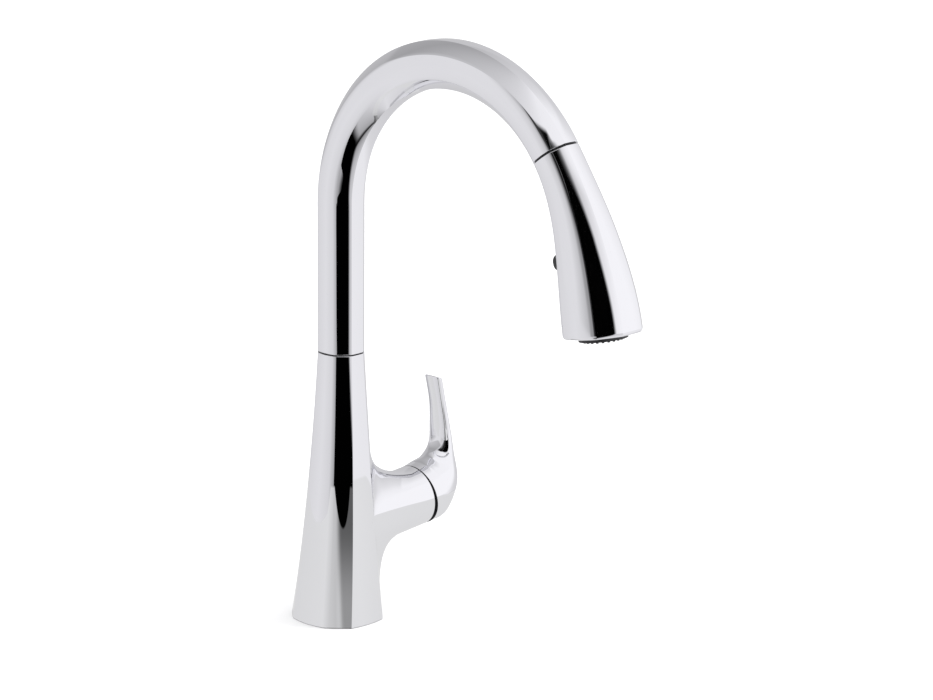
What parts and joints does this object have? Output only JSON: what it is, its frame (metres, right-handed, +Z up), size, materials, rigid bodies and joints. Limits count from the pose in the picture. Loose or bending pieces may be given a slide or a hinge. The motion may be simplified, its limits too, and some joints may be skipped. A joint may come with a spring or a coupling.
{
  "type": "pull-down kitchen faucet",
  "caption": "Deck-mounted kitchen faucet with a swivelling gooseneck spout, a pull-down spray head with a spray button, and a side lever that mixes hot and cold.",
  "frame": {"origin": "centre of the deck face, on the swivel axis of the spout", "axes": "+Z up out of the deck, -Y towards the sink (the way the spout reaches), +X to the lever side"},
  "size_m": [0.1312, 0.291, 0.501],
  "materials": {
    "chrome_body": "polished chrome plate",
    "chrome_trim": "polished chrome plate on small trim",
    "black_plastic": "moulded, fine satin",
    "grey_plastic": "moulded acetal",
    "white_plastic": "moulded, smooth",
    "brass": "machined",
    "steel": "zinc plated or stainless",
    "seal_rubber": "moulded rubber",
    "nozzle_rubber": "silicone rubber",
    "ceramic": "lapped",
    "hose_braid": "woven nylon braid"
  },
  "bodies": {
    "fixed_body": {"body_shell": "chrome_body", "deck_gasket": "seal_rubber", "mounting_shank": "brass", "deck_washer_rubber": "seal_rubber", "deck_washer_steel": "steel", "mounting_nut": "black_plastic", "nut_screws": "steel", "waterway": "brass", "cartridge_seal": "seal_rubber", "cartridge_housing": "white_plastic", "ceramic_disc_fixed": "ceramic", "bonnet_nut": "brass", "bonnet_cap": "chrome_trim", "swivel_washer": "black_plastic", "glide_ring_lower": "white_plastic", "glide_ring_upper": "white_plastic", "spout_screw": "steel", "hose_coupling": "grey_plastic"},
    "spout": {"spout_tube": "chrome_body", "swivel_sleeve": "brass", "docking_collar": "black_plastic"},
    "hose_end": {"hose_nut": "brass", "spray_hose": "hose_braid"},
    "spray_head": {"head_shell": "chrome_body", "dock_stem": "grey_plastic", "check_valve": "white_plastic", "head_core": "grey_plastic", "spray_plate": "grey_plastic", "spray_face": "black_plastic", "spray_nozzles": "nozzle_rubber", "aerator": "black_plastic", "aerator_mesh": "grey_plastic", "button_spring": "steel"},
    "head_button": {"button": "black_plastic", "diverter": "grey_plastic"},
    "mixer": {"ceramic_disc_moving": "ceramic", "cartridge_rotor": "grey_plastic", "stem_pin": "steel"},
    "lever": {"handle": "chrome_body", "cartridge_stem": "brass", "handle_screw": "steel", "handle_plug": "chrome_trim"}
  },
  "joints": [
    {"name": "spout_swivel", "type": "hinge", "parent": "fixed_body", "child": "spout", "pos_m": [0, 0, 0.1842], "axis": [0, 0, 1], "continuous": true},
    {"name": "head_pull", "type": "slide", "parent": "spout", "child": "hose_end", "axis": [0, -0.5779, -0.8161], "range_m": [0, 0.2], "deforming": ["spray_hose"]},
    {"name": "head_turn", "type": "hinge", "parent": "hose_end", "child": "spray_head", "pos_m": [0, -0.19088, 0.34493], "axis": [0, -0.5779, -0.8161], "continuous": true},
    {"name": "button_press", "type": "slide", "parent": "spray_head", "child": "head_button", "axis": [0, -0.9514, 0.3079], "range_m": [0, 0.0018], "stiffness_N_per_m": 600},
    {"name": "mix_turn", "type": "hinge", "parent": "fixed_body", "child": "mixer", "pos_m": [0.05577, 0, 0.06908], "axis": [0.9959, 0, 0.0906], "range_deg": [-45, 45]},
    {"name": "lever_lift", "type": "hinge", "parent": "mixer", "child": "lever", "pos_m": [0.05577, 0, 0.06908], "axis": [0, 1, 0], "range_deg": [0, 20]}
  ]
}
